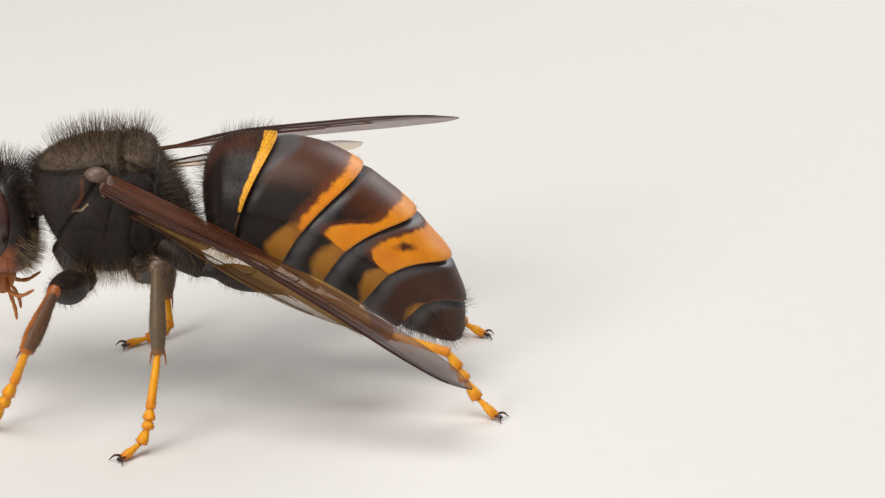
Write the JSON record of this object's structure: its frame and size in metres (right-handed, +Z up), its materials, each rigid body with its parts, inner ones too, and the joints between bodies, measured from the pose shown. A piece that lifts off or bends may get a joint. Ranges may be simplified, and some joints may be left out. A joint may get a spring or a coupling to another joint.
{
  "type": "yellow-legged asian hornet",
  "caption": "Still life-size hornet standing on its feet, with folded wings held back, drooping banded abdomen and dark hairy thorax.",
  "frame": {"origin": "on the floor, under the middle of the model's bounding box", "axes": "+Z up, +X from the head towards the tip of the abdomen, the hornet's left side faces -Y"},
  "size_m": [0.0322, 0.0246, 0.0129],
  "materials": {
    "black_shell": "dark brown-black cuticle under a grey velvet of short hair",
    "abdomen_shell": "satin dark brown cuticle with thin yellow-orange bands",
    "orange_band": "satin orange-yellow cuticle",
    "orange_face": "orange-brown cuticle",
    "compound_eye": "glossy dark red-brown facets",
    "feeler": "dull brown, orange below at the base",
    "wing": "smoky red-brown membrane with dark veins",
    "brown_leg": "brown cuticle with fine pale hair",
    "yellow_foot": "yellow-orange cuticle with fine bristles"
  },
  "bodies": {
    "root": {"head": "orange_face", "eye_left": "compound_eye", "eye_right": "compound_eye", "mandible_left": "orange_face", "mandible_right": "orange_face", "mouthparts": "orange_face", "antenna_left_scape": "feeler", "antenna_left_flagellum": "feeler", "antenna_right_scape": "feeler", "antenna_right_flagellum": "feeler", "neck": "black_shell", "pronotum": "black_shell", "mesothorax": "black_shell", "propodeum": "black_shell", "tegula_left": "feeler", "tegula_right": "feeler", "petiole": "black_shell", "gaster_1": "abdomen_shell", "gaster_2": "abdomen_shell", "gaster_3": "abdomen_shell", "gaster_4": "orange_band", "gaster_5": "abdomen_shell", "gaster_6": "abdomen_shell", "forewing_left": "wing", "forewing_right": "wing", "hindwing_left": "wing", "hindwing_right": "wing", "coxa_front_left": "black_shell", "femur_front_left": "black_shell", "tibia_front_left": "brown_leg", "tarsus_front_left": "yellow_foot", "coxa_front_right": "black_shell", "femur_front_right": "black_shell", "tibia_front_right": "brown_leg", "tarsus_front_right": "yellow_foot", "coxa_middle_left": "black_shell", "femur_middle_left": "black_shell", "tibia_middle_left": "brown_leg", "tarsus_middle_left": "yellow_foot", "coxa_middle_right": "black_shell", "femur_middle_right": "black_shell", "tibia_middle_right": "brown_leg", "tarsus_middle_right": "yellow_foot", "coxa_hind_left": "black_shell", "femur_hind_left": "black_shell", "tibia_hind_left": "brown_leg", "tarsus_hind_left": "yellow_foot", "coxa_hind_right": "black_shell", "femur_hind_right": "black_shell", "tibia_hind_right": "brown_leg", "tarsus_hind_right": "yellow_foot"}
  },
  "joints": []
}
